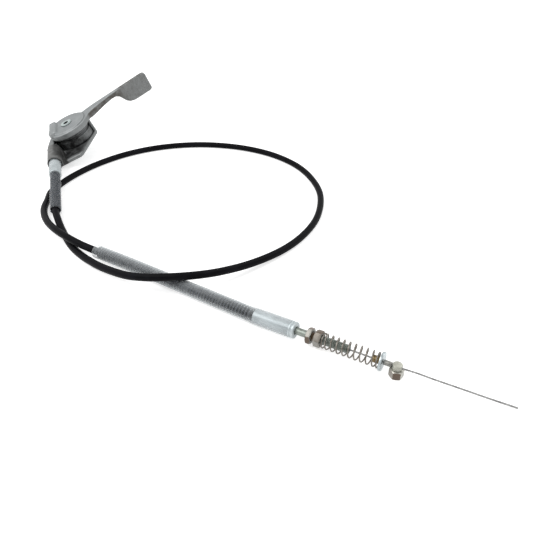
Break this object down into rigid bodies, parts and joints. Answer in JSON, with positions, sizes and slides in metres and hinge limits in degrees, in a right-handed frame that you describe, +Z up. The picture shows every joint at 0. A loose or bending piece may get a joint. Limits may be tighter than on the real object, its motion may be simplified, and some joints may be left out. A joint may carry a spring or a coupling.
{
  "type": "throttle cable",
  "caption": "Hand throttle control cable: thumb lever on a pivot housing, black conduit in one loop, threaded adjuster with lock nuts, return spring and screwed cable clamp.",
  "frame": {"origin": "on the floor that the cable lies on, below the middle of its fittings", "axes": "+Z up, +X from the lever towards the clamp end, +Y away from the viewer"},
  "size_m": [0.388, 0.428, 0.0715],
  "materials": {
    "die_cast": "bare die-cast zinc alloy, matt warm grey",
    "zinc_plate": "pale bluish zinc plate",
    "nut_zinc": "zinc-plated steel with warm tint",
    "spring_steel": "bright spring wire",
    "guard_wire": "dark coated guard spring",
    "clear_sleeve": "frosted clear tube",
    "conduit_jacket": "satin black plastic jacket",
    "brass": "dull brass",
    "wire_steel": "bare stranded steel wire"
  },
  "bodies": {
    "casing": {"lever_housing": "die_cast", "pivot_rivet": "zinc_plate", "friction_washer": "spring_steel", "outlet_wire": "wire_steel", "lever_ferrule": "zinc_plate", "lever_guard_spring": "guard_wire", "lever_sleeve": "clear_sleeve", "conduit": "conduit_jacket", "guard_spring": "guard_wire", "guard_sleeve": "clear_sleeve", "adjuster_ferrule": "zinc_plate", "adjuster_tube": "zinc_plate", "return_spring": "spring_steel"},
    "lever": {"throttle_lever": "die_cast", "lever_nipple": "zinc_plate", "drum_wire": "wire_steel"},
    "wire_end": {"spring_bush": "brass", "spring_washer": "zinc_plate", "spacer_tube": "zinc_plate", "cable_clamp": "nut_zinc", "clamp_screw": "nut_zinc", "inner_wire": "wire_steel"},
    "inner_nut": {"lock_nut_inner": "nut_zinc"},
    "outer_nut": {"lock_nut_outer": "nut_zinc"}
  },
  "joints": [
    {"name": "lever_pivot", "type": "hinge", "parent": "casing", "child": "lever", "pos_m": [-0.142, 0.1356, 0.0348], "axis": [0.3277, 0.1652, -0.9302], "range_deg": [0, 45]},
    {"name": "wire_slide", "type": "slide", "parent": "casing", "child": "wire_end", "axis": [-0.8732, 0.487, -0.015], "range_m": [0, 0.01502], "stiffness_N_per_m": 240, "deforming": ["return_spring"]},
    {"name": "inner_nut_turn", "type": "hinge", "parent": "casing", "child": "inner_nut", "pos_m": [0.10843, -0.17026, 0.00662], "axis": [0.8732, -0.487, 0.015], "continuous": true},
    {"name": "outer_nut_turn", "type": "hinge", "parent": "casing", "child": "outer_nut", "pos_m": [0.11384, -0.17328, 0.00672], "axis": [0.8732, -0.487, 0.015], "continuous": true}
  ],
  "couplings": [
    {"joint": "wire_slide", "follows": "lever_pivot", "m_per_rad": 0.0191}
  ]
}
